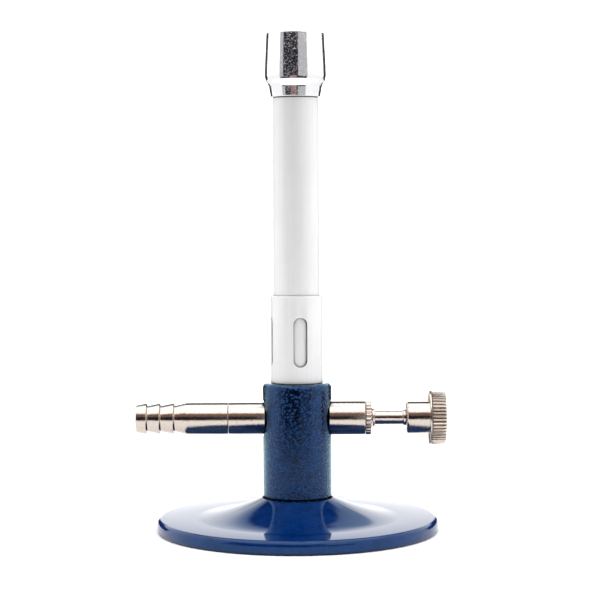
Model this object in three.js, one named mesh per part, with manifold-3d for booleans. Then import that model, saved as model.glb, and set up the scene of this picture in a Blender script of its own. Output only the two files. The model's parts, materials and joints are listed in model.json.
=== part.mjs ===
// Bunsen burner with an air collar, a needle gas valve and a hose nozzle.
//
// Millimetres, +Z up, standing on Z = 0. The origin is the middle of the footprint box,
// so the burner's vertical axis stands at X = AXIS_X. The gas line runs along X: the hose
// nozzle points to -X and the valve knob to +X. The front is -Y.

import * as THREE from 'three';
import { mergeVertices } from 'three/addons/utils/BufferGeometryUtils.js';
import Module from 'manifold-3d';

const wasm = await Module();
wasm.setup();

// ---------------------------------------------------------------- driving dimensions

const GAP = 0.3; // clearance left between pieces that touch

const BASE_R = 42.5;
const BASE_RIM_H = 4.05;
const BASE_EDGE = 0.8; // rounding of the rim's top edge
const BASE_FOOT_EDGE = 0.5; // chamfer of the rim's bottom edge
const CONE_FOOT_R = 31.0; // where the flat ring ends and the cone starts
const CONE_TOP_Z = 9.95;
const CONE_POWER = 1.5; // 1 is a straight cone, more is a deeper sweep
const BASE_WALL = 2.8;
const FOOT_INNER_R = 37.5; // inside of the ring that stands on the bench
const FOOT_SLOPE = 0.6; // how far that inside wall leans in at its top
const HUB_R = 9.5;
const HUB_Z = 6.2; // underside of the hub that the screw pulls on
const SOCKET_DEPTH = 1.0; // recess that locates the pillar

const PILLAR_R = 10.4;
const PILLAR_TOP_Z = 44.8;
const PILLAR_EDGE = 1.0;
const SPOT_R = 5.95; // machined flats where the gas line enters
const SPOT_X = 9.7;
const LINE_Z = 34.0; // height of the gas line

const SCREW_R = 2.45;
const SCREW_TIP_Z = 22.0;
const SCREW_BORE_TOP_Z = 23.5;
const SCREW_HEAD_R = 4.3;
const SCREW_HEAD_H = 2.3;
const SCREW_HEAD_EDGE = 0.4;
const SCREW_TIP_EDGE = 0.8;
const SCREW_SLOT_W = 1.1;
const SCREW_SLOT_DEPTH = 1.2;
const WASHER_R = 5.2;
const WASHER_T = 1.0;
const SPRING_WASHER_R = 4.4;
const SPRING_WASHER_T = 1.2;
const SPRING_WASHER_SLIT = 1.0;

const SPIGOT_R = 3.6; // every threaded spigot that enters the pillar
const SPIGOT_BORE_R = SPIGOT_R + GAP;
const SPIGOT_FLOOR = 5.2; // from the burner's axis to the bottom of those bores
const GASKET_T = 0.7;
const GASKET_HOLE_R = 2.6;

const LINE_EDGE = 0.15; // chamfer where two pieces of the gas line meet
const ADAPTER_R = 4.825;
const ADAPTER_END = 20.65; // distances along the gas line are from the burner's axis
const ADAPTER_BORE_R = 2.2;
const NOZZLE_SOCKET_R = 3.3;
const NOZZLE_SOCKET_FLOOR = 14.0;
const NOZZLE_SPIGOT_R = 3.0;
const NOZZLE_START = ADAPTER_END + GAP;
const NOZZLE_BORE_R = 2.5;
const NOZZLE_BODY_END = 33.5;
const BARB_VALLEY_R = 3.925;
const BARB_CREST_R = 4.75;
const BARB_STEP = 0.4; // length of the steep side of a barb
const BARB_VALLEYS = [37.0, 41.2, 45.2];
const NOZZLE_TIP = 48.7;
const NOZZLE_TIP_R = 4.15;

const VALVE_R = 5.125;
const VALVE_END = 20.35;
const THREAD_BORE_R = 2.8;
const PACKING_ROOM_R = 3.8;
const PACKING_ROOM_FLOOR = 13.2;
const PACKING_R = 3.5;
const PACKING_HOLE_R = 2.35;
const PACKING_T = 2.1;
const GLAND_WASHER_T = 0.7;
const GLAND_KNURL_END = 22.4;
const GLAND_TEETH = 26;
const GLAND_TOOTH = 0.25;
const GLAND_LAP = 0.5; // how far the nut's joined shapes run into each other
const GLAND_SHOULDER_R = 3.05;
const GLAND_NECK_R = 2.65;
const GLAND_NECK_START = 22.8;
const GLAND_NECK_END = 23.5;
const GLAND_BORE_R = 2.25;

const SPINDLE_R = 2.05;
const SPINDLE_THREAD_R = 2.5;
const SPINDLE_THREAD = [7.6, 10.2]; // threaded stretch
const THREAD_LEAD_IN = 0.3; // length of the cone at each end of the thread
const O_RING_SEAT_X = 11.1; // middle of the groove for the rubber ring
const O_RING_WIRE_R = 0.42;
const O_RING_R = 1.95; // middle of the ring's section
const O_RING_GROOVE_R = 1.4;
const O_RING_PLAY = 0.15; // room on each side of the ring in its groove
const NEEDLE_R = 1.7;
const NEEDLE_CONE_X = 1.2;
const NEEDLE_TIP_X = -2.7;
const NEEDLE_TIP_R = 0.25;
const SPINDLE_FLANGE = [32.0, 32.6]; // small shoulder beside the knob
const SPINDLE_FLANGE_R = 2.4;
const SPINDLE_END = 42.6;

const SEAT_HOLE_R = 1.0; // orifice that the needle closes
const SEAT = [-4.2, -2.6];
const VALVE_CHAMBER_R = 2.4;
const INLET_CHAMBER_R = 2.2;

const KNOB_START = 32.9;
const KNOB_BOSS_R = 4.9;
const KNOB_EDGE = 0.9;
const KNOB_LIP_R = 8.3;
const KNOB_LIP = [39.9, 40.5]; // plain lip beside the knurl
const KNOB_R = 8.1;
const KNOB_END = 44.8;
const KNOB_TEETH = 50;
const KNOB_TOOTH = 0.32; // depth of the knurl
const KNOB_LAP = 0.5;
const KNOB_BORE_R = 2.3;
const KNOB_SCREW_X = 36.6;
const KNOB_SCREW_R = 1.2;
const KNOB_SCREW_HOLE_R = 1.5;
const KNOB_SCREW_SUNK = 0.5; // depth of its end below the boss
const KNOB_SCREW_KEY_R = 0.6;
const KNOB_SCREW_KEY_DEPTH = 1.0;

const JET_BORE_FLOOR_Z = 38.5;
const GAS_UP_R = 1.5; // passage from the valve chamber up to the jet
const JET_GASKET_T = 0.5;
const JET_THREAD_R = 5.65; // thread that the tube screws onto
const JET_BODY_TOP_Z = 49.7;
const JET_SOCKET_R = 2.3;
const JET_SOCKET_FLOOR_Z = 46.0;
const JET_SPIGOT_R = 2.0;
const JET_HEX_R = 3.2;
const JET_HEX_TOP_Z = 52.0;
const JET_TIP_Z = 54.2;
const JET_TIP_R = 1.0;
const JET_FEED_R = 1.0;
const JET_ORIFICE_R = 0.4;
const JET_ORIFICE_Z = 52.8;

const TUBE_R = 6.95;
const TUBE_BORE_R = 6.0;
const TUBE_BOTTOM_Z = PILLAR_TOP_Z + GAP;
const TUBE_SHOULDER_Z = 130.4; // above it the tube is turned down for the crown
const TUBE_TOP_R = 6.6;
const TUBE_TOP_Z = 147.4;
const PILOT_HOLES = 8;
const PILOT_HOLE_R = 0.8;
const PILOT_HOLE_Z = 138.0;

const COLLAR_R = 7.85;
const COLLAR_BORE_R = 7.15;
const COLLAR_TOP_Z = 71.2;
const COLLAR_EDGE = 0.25;
const WINDOWS = 4;
const WINDOW_W = 4.2;
const WINDOW_Z = [49.9, 64.8];
const WINDOW_TURN = 8.5; // degrees from the front to the nearest window, towards +X
const TUBE_HOLE_TURN = WINDOW_TURN + 45; // the collar is shown with the air shut off

const CROWN_BOTTOM_Z = 130.7;
const CROWN_NECK_R = 7.55;
const CROWN_NECK_BORE_R = TUBE_TOP_R + GAP;
const CROWN_NECK_TOP = [8.15, 134.6];
const CROWN_SHOULDER = [9.05, 136.2];
const CROWN_SHOULDER_H = 1.0;
const CROWN_BELLY = [8.95, 141.5]; // the outside bulges slightly between shoulder and rim
const CROWN_RIM_R = 8.72;
const CROWN_TOP_Z = 149.8;
const CROWN_EDGE = 0.3;
const CROWN_WALL = 0.9;
const CROWN_NECK_WALL = 0.5;
const CROWN_FLOOR_Z = 133.6;

const AXIS_X = (NOZZLE_TIP - KNOB_END) / 2; // puts the footprint's middle at X = 0

// ---------------------------------------------------------------- materials

const finish = (color, roughness, metalness) =>
  new THREE.MeshStandardMaterial({ color, roughness, metalness });

const blueEnamel = finish(0x1c4585, 0.12, 0.0);
const blueHammer = finish(0x27477c, 0.3, 0.2);
const nickel = finish(0xcfc4b8, 0.15, 1.0);
const chrome = finish(0xe8e8ea, 0.06, 1.0);
const satinAluminium = finish(0xd9d9d9, 0.45, 0.6);
const brass = finish(0xb99043, 0.3, 1.0);
const zincSteel = finish(0xa9adb2, 0.35, 1.0);
const fibre = finish(0x8a3b2a, 0.9, 0.0);
const graphite = finish(0x3a3a3a, 0.8, 0.0);
const rubber = finish(0x151515, 0.7, 0.0);

// ---------------------------------------------------------------- shape helpers

// A profile of [radius, height] pairs turned around Z. It runs anticlockwise: up the
// outside, then back down the inside or along the axis.
function turned(profile, sides) {
  const points = profile.map(([r, z]) => new THREE.Vector2(r, z));
  const geometry = new THREE.LatheGeometry(points, sides);
  geometry.rotateX(Math.PI / 2);
  return geometry;
}

// A plain ring or sleeve between two radii and two heights.
function ring(innerR, outerR, low, high, sides) {
  const section = [[innerR, low], [outerR, low], [outerR, high], [innerR, high], [innerR, low]];
  return turned(section, sides);
}

// A solid round bar along Z.
function bar(radius, low, high, sides) {
  return turned([[0, low], [radius, low], [radius, high], [0, high]], sides);
}

// The points of a quarter-round edge, from one angle to another, in degrees.
function arc(centreR, centreZ, radius, from, to, steps) {
  const points = [];
  for (let i = 0; i <= steps; i += 1) {
    const angle = THREE.MathUtils.degToRad(from + ((to - from) * i) / steps);
    points.push([centreR + radius * Math.cos(angle), centreZ + radius * Math.sin(angle)]);
  }
  return points;
}

// A solid straight-knurled disc, with teeth from the full radius down to radius - depth.
function knurled(radius, depth, teeth, low, high) {
  const outline = new THREE.Shape();
  const points = teeth * 2;
  for (let i = 0; i < points; i += 1) {
    const angle = (i / points) * 2 * Math.PI;
    const r = i % 2 ? radius - depth : radius;
    if (i === 0) outline.moveTo(r, 0);
    else outline.lineTo(r * Math.cos(angle), r * Math.sin(angle));
  }
  outline.closePath();
  const geometry = new THREE.ExtrudeGeometry(outline, { depth: high - low, bevelEnabled: false });
  geometry.translate(0, 0, low);
  return geometry;
}

// A slot with round ends, cut radially: width across, low and high ends on Z, pointing
// outwards from the axis towards the given angle (degrees anticlockwise from +X).
function radialSlot(width, low, high, length, angle) {
  const half = width / 2;
  const outline = new THREE.Shape();
  outline.absarc(0, high - half, half, 0, Math.PI, false);
  outline.absarc(0, low + half, half, Math.PI, 2 * Math.PI, false);
  outline.closePath();
  const geometry = new THREE.ExtrudeGeometry(outline, {
    depth: length,
    bevelEnabled: false,
    curveSegments: 6,
  });
  geometry.rotateX(Math.PI / 2);
  geometry.rotateZ(THREE.MathUtils.degToRad(angle + 90));
  return geometry;
}

// A round cutter along X, at a height on the burner's axis.
function barAlongX(radius, from, to, z, sides) {
  const geometry = bar(radius, from, to, sides);
  geometry.rotateY(Math.PI / 2);
  geometry.translate(0, 0, z);
  return geometry;
}

function solid(geometry) {
  const bare = geometry.clone();
  bare.deleteAttribute('normal');
  bare.deleteAttribute('uv');
  const merged = mergeVertices(bare, 1e-4);
  const index = merged.index.array;
  const triangles = [];
  for (let i = 0; i < index.length; i += 3) {
    const [a, b, c] = [index[i], index[i + 1], index[i + 2]];
    if (a !== b && b !== c && c !== a) triangles.push(a, b, c);
  }
  return new wasm.Manifold(new wasm.Mesh({
    numProp: 3,
    vertProperties: new Float32Array(merged.attributes.position.array),
    triVerts: new Uint32Array(triangles),
  }));
}

function surface(body) {
  const { vertProperties, triVerts } = body.getMesh();
  const geometry = new THREE.BufferGeometry();
  geometry.setAttribute('position', new THREE.BufferAttribute(vertProperties, 3));
  geometry.setIndex(new THREE.BufferAttribute(triVerts, 1));
  geometry.computeVertexNormals();
  return geometry;
}

// One geometry with others joined to it, then others cut from it.
function shaped(start, joins, cuts) {
  let body = solid(start);
  for (const join of joins) body = body.add(solid(join));
  for (const cut of cuts) body = body.subtract(solid(cut));
  return surface(body);
}

function part(name, geometry, material) {
  const mesh = new THREE.Mesh(geometry, material);
  mesh.name = name;
  return mesh;
}

// ---------------------------------------------------------------- base and its fixing

// The top of the cone at a radius: a concave sweep from the flat ring up to the pillar.
function coneZ(r) {
  const run = (CONE_FOOT_R - r) / (CONE_FOOT_R - (PILLAR_R + GAP));
  return BASE_RIM_H + (CONE_TOP_Z - BASE_RIM_H) * run ** CONE_POWER;
}

function basePlate() {
  const socketR = PILLAR_R + GAP;
  const radiusAt = (share) => CONE_FOOT_R + (socketR - CONE_FOOT_R) * share;
  const sweep = (shares, drop) =>
    shares.map((share) => [radiusAt(share), coneZ(radiusAt(share)) - drop]);
  const screwHoleR = SCREW_R + GAP;
  const profile = [
    [screwHoleR, HUB_Z],
    [HUB_R, HUB_Z],
    ...sweep([0.95, 0.6, 0.3, 0], BASE_WALL),
    [FOOT_INNER_R - FOOT_SLOPE, BASE_RIM_H - BASE_WALL],
    [FOOT_INNER_R, 0],
    [BASE_R - BASE_FOOT_EDGE, 0],
    [BASE_R, BASE_FOOT_EDGE],
    ...arc(BASE_R - BASE_EDGE, BASE_RIM_H - BASE_EDGE, BASE_EDGE, 0, 90, 3),
    ...sweep([0, 0.2, 0.4, 0.6, 0.8, 1], 0),
    [socketR, CONE_TOP_Z - SOCKET_DEPTH],
    [screwHoleR, CONE_TOP_Z - SOCKET_DEPTH],
    [screwHoleR, HUB_Z],
  ];
  return turned(profile, 56);
}

const washerTopZ = HUB_Z - GAP;
const springTopZ = washerTopZ - WASHER_T - GAP;
const headTopZ = springTopZ - SPRING_WASHER_T - GAP;

function baseScrew() {
  const headBottomZ = headTopZ - SCREW_HEAD_H;
  const body = turned([
    [0, headBottomZ],
    [SCREW_HEAD_R - SCREW_HEAD_EDGE, headBottomZ],
    [SCREW_HEAD_R, headBottomZ + SCREW_HEAD_EDGE],
    [SCREW_HEAD_R, headTopZ],
    [SCREW_R, headTopZ],
    [SCREW_R, SCREW_TIP_Z - SCREW_TIP_EDGE],
    [SCREW_R - SCREW_TIP_EDGE, SCREW_TIP_Z],
    [0, SCREW_TIP_Z],
  ], 24);
  const slot = new THREE.BoxGeometry(SCREW_HEAD_R * 3, SCREW_SLOT_W, SCREW_SLOT_DEPTH * 2);
  slot.translate(0, 0, headBottomZ);
  return shaped(body, [], [slot]);
}

function springWasher() {
  const slitAngle = SPRING_WASHER_SLIT / SPRING_WASHER_R;
  const outline = new THREE.Shape();
  outline.absarc(0, 0, SPRING_WASHER_R, slitAngle, 2 * Math.PI - slitAngle, false);
  outline.absarc(0, 0, SCREW_R + GAP, 2 * Math.PI - slitAngle, slitAngle, true);
  outline.closePath();
  const geometry = new THREE.ExtrudeGeometry(outline, {
    depth: SPRING_WASHER_T,
    bevelEnabled: false,
    curveSegments: 24,
  });
  geometry.translate(0, 0, springTopZ - SPRING_WASHER_T);
  return geometry;
}

const plainWasher = ring(SCREW_R + GAP, WASHER_R, washerTopZ - WASHER_T, washerTopZ, 24);

// ---------------------------------------------------------------- pillar

const pillarFootZ = CONE_TOP_Z - SOCKET_DEPTH + GAP;

function pillarBody() {
  const body = turned([
    [0, pillarFootZ],
    [PILLAR_R, pillarFootZ],
    ...arc(PILLAR_R - PILLAR_EDGE, PILLAR_TOP_Z - PILLAR_EDGE, PILLAR_EDGE, 0, 90, 4),
    [0, PILLAR_TOP_Z],
  ], 36);
  const past = PILLAR_R + 2; // cutters run out past the surface
  const cuts = [
    barAlongX(SPOT_R, SPOT_X, past, LINE_Z, 32),
    barAlongX(SPOT_R, -past, -SPOT_X, LINE_Z, 32),
    barAlongX(SPIGOT_BORE_R, SPIGOT_FLOOR, past, LINE_Z, 24),
    barAlongX(SPIGOT_BORE_R, -past, -SPIGOT_FLOOR, LINE_Z, 24),
    barAlongX(INLET_CHAMBER_R, -SPIGOT_FLOOR - 1, SEAT[0], LINE_Z, 20),
    barAlongX(SEAT_HOLE_R, SEAT[0] - 1, SEAT[1] + 1, LINE_Z, 16),
    barAlongX(VALVE_CHAMBER_R, SEAT[1], SPIGOT_FLOOR + 1, LINE_Z, 20),
    bar(GAS_UP_R, LINE_Z, JET_BORE_FLOOR_Z + 1, 16),
    bar(SPIGOT_BORE_R, JET_BORE_FLOOR_Z, PILLAR_TOP_Z + 2, 24),
    bar(SCREW_R + GAP, pillarFootZ - 2, SCREW_BORE_TOP_Z, 20),
  ];
  return shaped(body, [], cuts);
}

// ---------------------------------------------------------------- hose side of the line

const gasketEnd = SPIGOT_FLOOR + GAP + GASKET_T;
const spigotStart = gasketEnd + GAP;
const lineShoulder = SPOT_X + GAP; // both line pieces seat against the pillar's flats

const pillarGasket = () =>
  ring(GASKET_HOLE_R, SPIGOT_R, SPIGOT_FLOOR + GAP, gasketEnd, 20);

function inletAdapter() {
  return turned([
    [ADAPTER_BORE_R, spigotStart],
    [SPIGOT_R, spigotStart],
    [SPIGOT_R, lineShoulder],
    [ADAPTER_R, lineShoulder],
    [ADAPTER_R, ADAPTER_END - LINE_EDGE],
    [ADAPTER_R - LINE_EDGE, ADAPTER_END],
    [NOZZLE_SOCKET_R, ADAPTER_END],
    [NOZZLE_SOCKET_R, NOZZLE_SOCKET_FLOOR],
    [ADAPTER_BORE_R, NOZZLE_SOCKET_FLOOR],
    [ADAPTER_BORE_R, spigotStart],
  ], 24);
}

const nozzleGasketEnd = NOZZLE_SOCKET_FLOOR + GAP + GASKET_T;
const nozzleGasket = ring(
  NOZZLE_BORE_R,
  NOZZLE_SPIGOT_R,
  NOZZLE_SOCKET_FLOOR + GAP,
  nozzleGasketEnd,
  20,
);

function hoseNozzle() {
  const spigot = nozzleGasketEnd + GAP;
  const barbs = [];
  for (const valley of BARB_VALLEYS) {
    barbs.push([BARB_VALLEY_R, valley], [BARB_CREST_R, valley + BARB_STEP]);
  }
  return turned([
    [NOZZLE_BORE_R, spigot],
    [NOZZLE_SPIGOT_R, spigot],
    [NOZZLE_SPIGOT_R, NOZZLE_START],
    [ADAPTER_R - LINE_EDGE, NOZZLE_START],
    [ADAPTER_R, NOZZLE_START + LINE_EDGE],
    [ADAPTER_R, NOZZLE_BODY_END],
    ...barbs,
    [NOZZLE_TIP_R, NOZZLE_TIP],
    [NOZZLE_BORE_R, NOZZLE_TIP],
    [NOZZLE_BORE_R, spigot],
  ], 24);
}

// ---------------------------------------------------------------- valve side of the line

function valveBody() {
  return turned([
    [THREAD_BORE_R, spigotStart],
    [SPIGOT_R, spigotStart],
    [SPIGOT_R, lineShoulder],
    [VALVE_R, lineShoulder],
    [VALVE_R, VALVE_END],
    [PACKING_ROOM_R, VALVE_END],
    [PACKING_ROOM_R, PACKING_ROOM_FLOOR],
    [THREAD_BORE_R, PACKING_ROOM_FLOOR],
    [THREAD_BORE_R, spigotStart],
  ], 32);
}

const packingStart = PACKING_ROOM_FLOOR + GAP;
const packingEnd = packingStart + PACKING_T;
const glandWasherEnd = packingEnd + GAP + GLAND_WASHER_T;
const packing = ring(PACKING_HOLE_R, PACKING_R, packingStart, packingEnd, 20);
const glandWasher = ring(PACKING_HOLE_R, PACKING_R, packingEnd + GAP, glandWasherEnd, 20);

function glandNut() {
  const knurlStart = VALVE_END + GAP;
  const sleeve = bar(PACKING_R, glandWasherEnd + GAP, knurlStart + GLAND_LAP, 24);
  const neck = turned([
    [0, GLAND_KNURL_END - GLAND_LAP],
    [GLAND_SHOULDER_R, GLAND_KNURL_END - GLAND_LAP],
    [GLAND_SHOULDER_R, GLAND_KNURL_END],
    [GLAND_NECK_R, GLAND_NECK_START],
    [GLAND_NECK_R, GLAND_NECK_END],
    [0, GLAND_NECK_END],
  ], 24);
  const disc = knurled(VALVE_R, GLAND_TOOTH, GLAND_TEETH, knurlStart, GLAND_KNURL_END);
  const bore = bar(GLAND_BORE_R, packingEnd, GLAND_NECK_END + 1, 24);
  return shaped(disc, [sleeve, neck], [bore]);
}

function needleSpindle() {
  const groove = O_RING_WIRE_R + O_RING_PLAY;
  return turned([
    [0, NEEDLE_TIP_X],
    [NEEDLE_TIP_R, NEEDLE_TIP_X],
    [NEEDLE_R, NEEDLE_CONE_X],
    [NEEDLE_R, SPINDLE_THREAD[0]],
    [SPINDLE_THREAD_R, SPINDLE_THREAD[0] + THREAD_LEAD_IN],
    [SPINDLE_THREAD_R, SPINDLE_THREAD[1] - THREAD_LEAD_IN],
    [SPINDLE_R, SPINDLE_THREAD[1]],
    [SPINDLE_R, O_RING_SEAT_X - groove],
    [O_RING_GROOVE_R, O_RING_SEAT_X - groove],
    [O_RING_GROOVE_R, O_RING_SEAT_X + groove],
    [SPINDLE_R, O_RING_SEAT_X + groove],
    [SPINDLE_R, SPINDLE_FLANGE[0]],
    [SPINDLE_FLANGE_R, SPINDLE_FLANGE[0]],
    [SPINDLE_FLANGE_R, SPINDLE_FLANGE[1]],
    [SPINDLE_R, SPINDLE_FLANGE[1]],
    [SPINDLE_R, SPINDLE_END],
    [0, SPINDLE_END],
  ], 20);
}

// A round-section ring, so its profile is a small circle that closes on itself.
const oRing = turned(arc(O_RING_R, O_RING_SEAT_X, O_RING_WIRE_R, 0, 360, 8), 20);

function controlKnob() {
  const boss = turned([
    [0, KNOB_START],
    ...arc(KNOB_BOSS_R - KNOB_EDGE, KNOB_START + KNOB_EDGE, KNOB_EDGE, -90, 0, 3),
    [KNOB_BOSS_R, KNOB_LIP[0] + KNOB_LAP],
    [0, KNOB_LIP[0] + KNOB_LAP],
  ], 32);
  const lip = bar(KNOB_LIP_R, KNOB_LIP[0], KNOB_LIP[1], 48);
  const wheel = knurled(KNOB_R, KNOB_TOOTH, KNOB_TEETH, KNOB_LIP[1] - KNOB_LAP, KNOB_END);
  const bore = bar(KNOB_BORE_R, KNOB_START - 1, SPINDLE_END + GAP, 24);
  const screwHole = bar(KNOB_SCREW_HOLE_R, 0, KNOB_BOSS_R + 2, 12);
  screwHole.rotateX(-Math.PI / 2);
  screwHole.translate(0, 0, KNOB_SCREW_X);
  return shaped(wheel, [boss, lip], [bore, screwHole]);
}

function knobScrew() {
  const outerEnd = KNOB_BOSS_R - KNOB_SCREW_SUNK;
  const screw = bar(KNOB_SCREW_R, SPINDLE_R + GAP, outerEnd, 16);
  const key = bar(KNOB_SCREW_KEY_R, outerEnd - KNOB_SCREW_KEY_DEPTH, outerEnd + 1, 6);
  const body = shaped(screw, [], [key]);
  body.rotateX(-Math.PI / 2);
  body.translate(0, 0, KNOB_SCREW_X);
  return body;
}

// ---------------------------------------------------------------- jet

const jetGasketZ = JET_BORE_FLOOR_Z + GAP;
const jetSpigotZ = jetGasketZ + JET_GASKET_T + GAP;
const jetGasket = ring(GAS_UP_R, SPIGOT_R, jetGasketZ, jetGasketZ + JET_GASKET_T, 20);

function jetBody() {
  return turned([
    [GAS_UP_R, jetSpigotZ],
    [SPIGOT_R, jetSpigotZ],
    [SPIGOT_R, PILLAR_TOP_Z + GAP],
    [JET_THREAD_R, PILLAR_TOP_Z + GAP],
    [JET_THREAD_R, JET_BODY_TOP_Z],
    [JET_SOCKET_R, JET_BODY_TOP_Z],
    [JET_SOCKET_R, JET_SOCKET_FLOOR_Z],
    [GAS_UP_R, JET_SOCKET_FLOOR_Z],
    [GAS_UP_R, jetSpigotZ],
  ], 24);
}

function gasJet() {
  const hexZ = JET_BODY_TOP_Z + GAP;
  const outside = turned([
    [0, JET_SOCKET_FLOOR_Z + GAP],
    [JET_SPIGOT_R, JET_SOCKET_FLOOR_Z + GAP],
    [JET_SPIGOT_R, JET_HEX_TOP_Z],
    [JET_TIP_R, JET_TIP_Z],
    [0, JET_TIP_Z],
  ], 20);
  const hex = bar(JET_HEX_R, hexZ, JET_HEX_TOP_Z, 6);
  const feed = bar(JET_FEED_R, JET_SOCKET_FLOOR_Z - 1, JET_ORIFICE_Z, 12);
  const orifice = bar(JET_ORIFICE_R, JET_ORIFICE_Z - 1, JET_TIP_Z + 1, 10);
  return shaped(outside, [hex], [feed, orifice]);
}

// ---------------------------------------------------------------- tube, collar, crown

// Four round-ended windows, the first one turned from the front towards +X.
function windows(turn) {
  const cuts = [];
  for (let i = 0; i < WINDOWS; i += 1) {
    const angle = -90 + turn + (i * 360) / WINDOWS;
    cuts.push(radialSlot(WINDOW_W, WINDOW_Z[0], WINDOW_Z[1], COLLAR_R + 2, angle));
  }
  return cuts;
}

function burnerTube() {
  const body = turned([
    [TUBE_BORE_R, TUBE_BOTTOM_Z],
    [TUBE_R, TUBE_BOTTOM_Z],
    [TUBE_R, TUBE_SHOULDER_Z],
    [TUBE_TOP_R, TUBE_SHOULDER_Z],
    [TUBE_TOP_R, TUBE_TOP_Z],
    [TUBE_BORE_R, TUBE_TOP_Z],
    [TUBE_BORE_R, TUBE_BOTTOM_Z],
  ], 36);
  const pilots = [];
  for (let i = 0; i < PILOT_HOLES; i += 1) {
    const hole = bar(PILOT_HOLE_R, 0, TUBE_R + 1, 8);
    hole.rotateY(Math.PI / 2);
    hole.rotateZ((i / PILOT_HOLES) * 2 * Math.PI);
    hole.translate(0, 0, PILOT_HOLE_Z);
    pilots.push(hole);
  }
  return shaped(body, [], [...windows(TUBE_HOLE_TURN), ...pilots]);
}

function airCollar() {
  const body = turned([
    [COLLAR_BORE_R, TUBE_BOTTOM_Z],
    [COLLAR_R - COLLAR_EDGE, TUBE_BOTTOM_Z],
    [COLLAR_R, TUBE_BOTTOM_Z + COLLAR_EDGE],
    [COLLAR_R, COLLAR_TOP_Z - COLLAR_EDGE],
    [COLLAR_R - COLLAR_EDGE, COLLAR_TOP_Z],
    [COLLAR_BORE_R, COLLAR_TOP_Z],
    [COLLAR_BORE_R, TUBE_BOTTOM_Z],
  ], 36);
  return shaped(body, [], windows(WINDOW_TURN));
}

function flameStabiliser() {
  const cupBottomR = CROWN_SHOULDER[0] - CROWN_WALL;
  const cupTopR = CROWN_RIM_R - CROWN_WALL;
  return turned([
    [CROWN_NECK_BORE_R, CROWN_BOTTOM_Z],
    [CROWN_NECK_R, CROWN_BOTTOM_Z],
    CROWN_NECK_TOP,
    CROWN_SHOULDER,
    [CROWN_SHOULDER[0], CROWN_SHOULDER[1] + CROWN_SHOULDER_H],
    CROWN_BELLY,
    [CROWN_RIM_R, CROWN_TOP_Z - CROWN_EDGE],
    [CROWN_RIM_R - CROWN_EDGE, CROWN_TOP_Z],
    [cupTopR, CROWN_TOP_Z],
    [cupBottomR, CROWN_SHOULDER[1] + CROWN_SHOULDER_H],
    [CROWN_NECK_TOP[0] - CROWN_NECK_WALL, CROWN_FLOOR_Z],
    [CROWN_NECK_BORE_R, CROWN_FLOOR_Z],
    [CROWN_NECK_BORE_R, CROWN_BOTTOM_Z],
  ], 36);
}

// ---------------------------------------------------------------- assembly

const burner = new THREE.Group();
burner.position.x = AXIS_X;

burner.add(
  part('base_plate', basePlate(), blueEnamel),
  part('base_screw', baseScrew(), zincSteel),
  part('base_washer', plainWasher, zincSteel),
  part('base_spring_washer', springWasher(), zincSteel),
  part('pillar_body', pillarBody(), blueHammer),
  part('jet_gasket', jetGasket, fibre),
  part('jet_body', jetBody(), brass),
  part('gas_jet', gasJet(), brass),
  part('burner_tube', burnerTube(), satinAluminium),
  part('air_collar', airCollar(), satinAluminium),
  part('flame_stabiliser', flameStabiliser(), chrome),
);

// In these two groups the pieces' own Z runs outwards along the gas line.
const hoseSide = new THREE.Group();
hoseSide.position.z = LINE_Z;
hoseSide.rotation.y = -Math.PI / 2;
hoseSide.add(
  part('inlet_gasket', pillarGasket(), fibre),
  part('inlet_adapter', inletAdapter(), nickel),
  part('nozzle_gasket', nozzleGasket, fibre),
  part('hose_nozzle', hoseNozzle(), nickel),
);

const valveSide = new THREE.Group();
valveSide.position.z = LINE_Z;
valveSide.rotation.y = Math.PI / 2;
valveSide.add(
  part('valve_gasket', pillarGasket(), fibre),
  part('valve_body', valveBody(), nickel),
  part('gland_packing', packing, graphite),
  part('gland_washer', glandWasher, brass),
  part('gland_nut', glandNut(), nickel),
  part('spindle_o_ring', oRing, rubber),
  part('needle_spindle', needleSpindle(), nickel),
  part('control_knob', controlKnob(), nickel),
  part('knob_screw', knobScrew(), zincSteel),
);

burner.add(hoseSide, valveSide);

export default burner;
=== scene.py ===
"""Bunsen burner: the fine visible pieces, their materials, the studio and the camera.

Lengths are in millimetres until a mesh is made, which is in metres. Overall sizes and
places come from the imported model; fine details are the named values in each section.
"""

import json
import math

import bmesh
import bpy
from mathutils import Matrix, Vector


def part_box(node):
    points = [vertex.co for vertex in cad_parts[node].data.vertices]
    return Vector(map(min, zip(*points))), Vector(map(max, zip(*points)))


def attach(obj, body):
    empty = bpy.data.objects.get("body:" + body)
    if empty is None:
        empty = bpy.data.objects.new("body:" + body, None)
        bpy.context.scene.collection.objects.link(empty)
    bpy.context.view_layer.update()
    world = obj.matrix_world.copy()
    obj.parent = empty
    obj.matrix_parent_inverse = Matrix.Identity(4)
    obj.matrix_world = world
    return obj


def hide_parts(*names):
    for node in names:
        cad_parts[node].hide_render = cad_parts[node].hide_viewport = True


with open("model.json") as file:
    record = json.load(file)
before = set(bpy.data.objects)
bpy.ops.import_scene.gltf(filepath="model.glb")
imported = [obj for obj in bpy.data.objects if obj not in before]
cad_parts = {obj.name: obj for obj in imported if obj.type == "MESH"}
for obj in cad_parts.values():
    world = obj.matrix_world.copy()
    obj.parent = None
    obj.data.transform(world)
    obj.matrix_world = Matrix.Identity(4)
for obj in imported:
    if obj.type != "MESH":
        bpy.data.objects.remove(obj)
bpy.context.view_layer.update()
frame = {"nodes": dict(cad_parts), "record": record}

MM = 0.001
CLEARANCE = 0.3  # the gap that the CAD solids keep between pieces that touch
HAIR = 0.02  # the gap that the visible pieces keep there
PAST = 2.0  # how far a cutter passes beyond what it cuts


# ------------------------------------------------------------------ places from the frame

def span(node):
    """A CAD node's lowest and highest corners, in millimetres."""
    low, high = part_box(node)
    return low / MM, high / MM


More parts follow.
